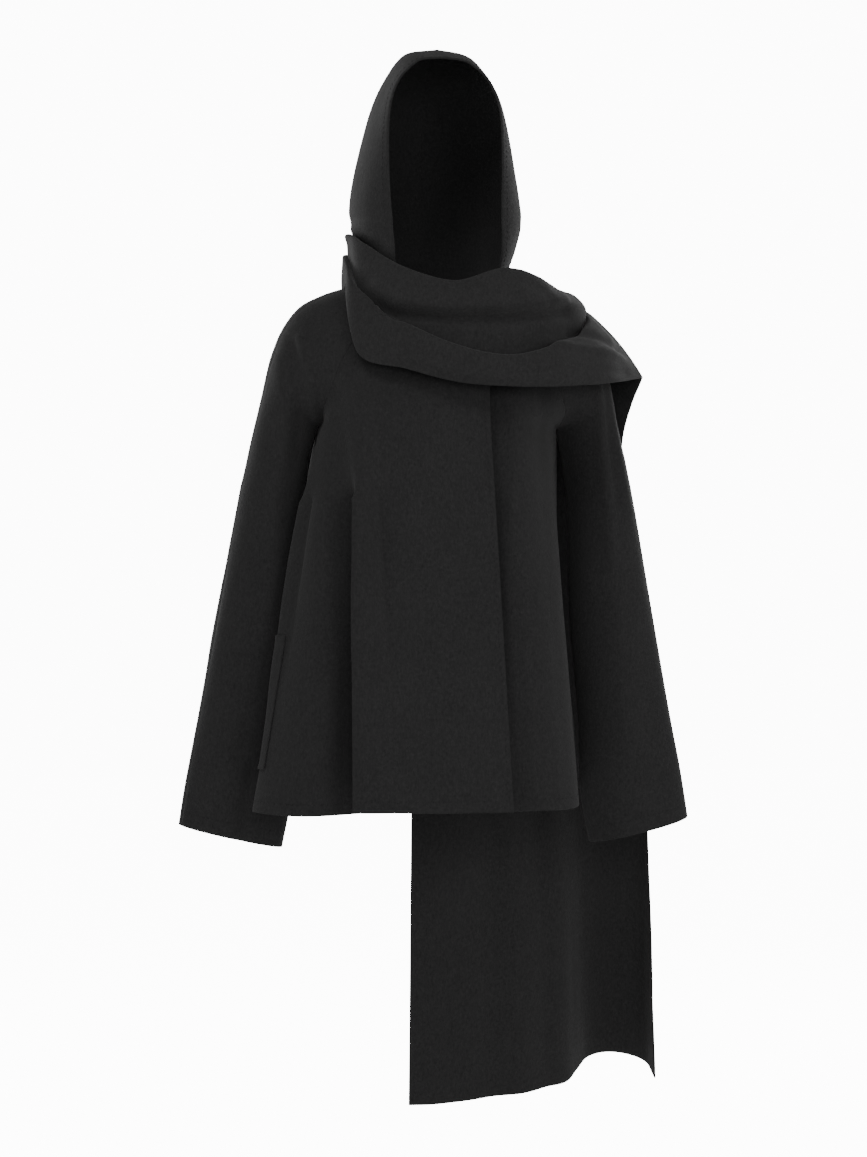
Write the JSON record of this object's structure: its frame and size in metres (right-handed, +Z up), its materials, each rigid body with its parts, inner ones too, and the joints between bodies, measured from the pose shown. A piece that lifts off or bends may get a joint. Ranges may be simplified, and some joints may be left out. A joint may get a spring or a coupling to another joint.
{
  "type": "scarf coat",
  "caption": "Hooded raglan coat of black felted wool with a wide scarf wound at the neck and hanging behind one shoulder, hollow and in its worn form.",
  "frame": {"origin": "centre of the neck's base, where the wearer's neck and shoulders hold the coat up", "axes": "+Z up along the body, front towards -Y, the wearer's left at +X"},
  "size_m": [0.6661, 0.5246, 1.369],
  "materials": {
    "wool": "brushed felted wool, matt with a faint nap"
  },
  "bodies": {
    "root": {"front_right": "wool", "front_left": "wool", "back": "wool", "pocket_welt_right": "wool", "pocket_welt_left": "wool", "sleeve_front_left": "wool", "sleeve_front_right": "wool", "sleeve_back_left": "wool", "sleeve_back_right": "wool", "hood_left": "wool", "hood_right": "wool", "scarf_upper": "wool", "scarf_lower": "wool", "scarf_shoulder": "wool", "scarf_tail": "wool"}
  },
  "joints": []
}
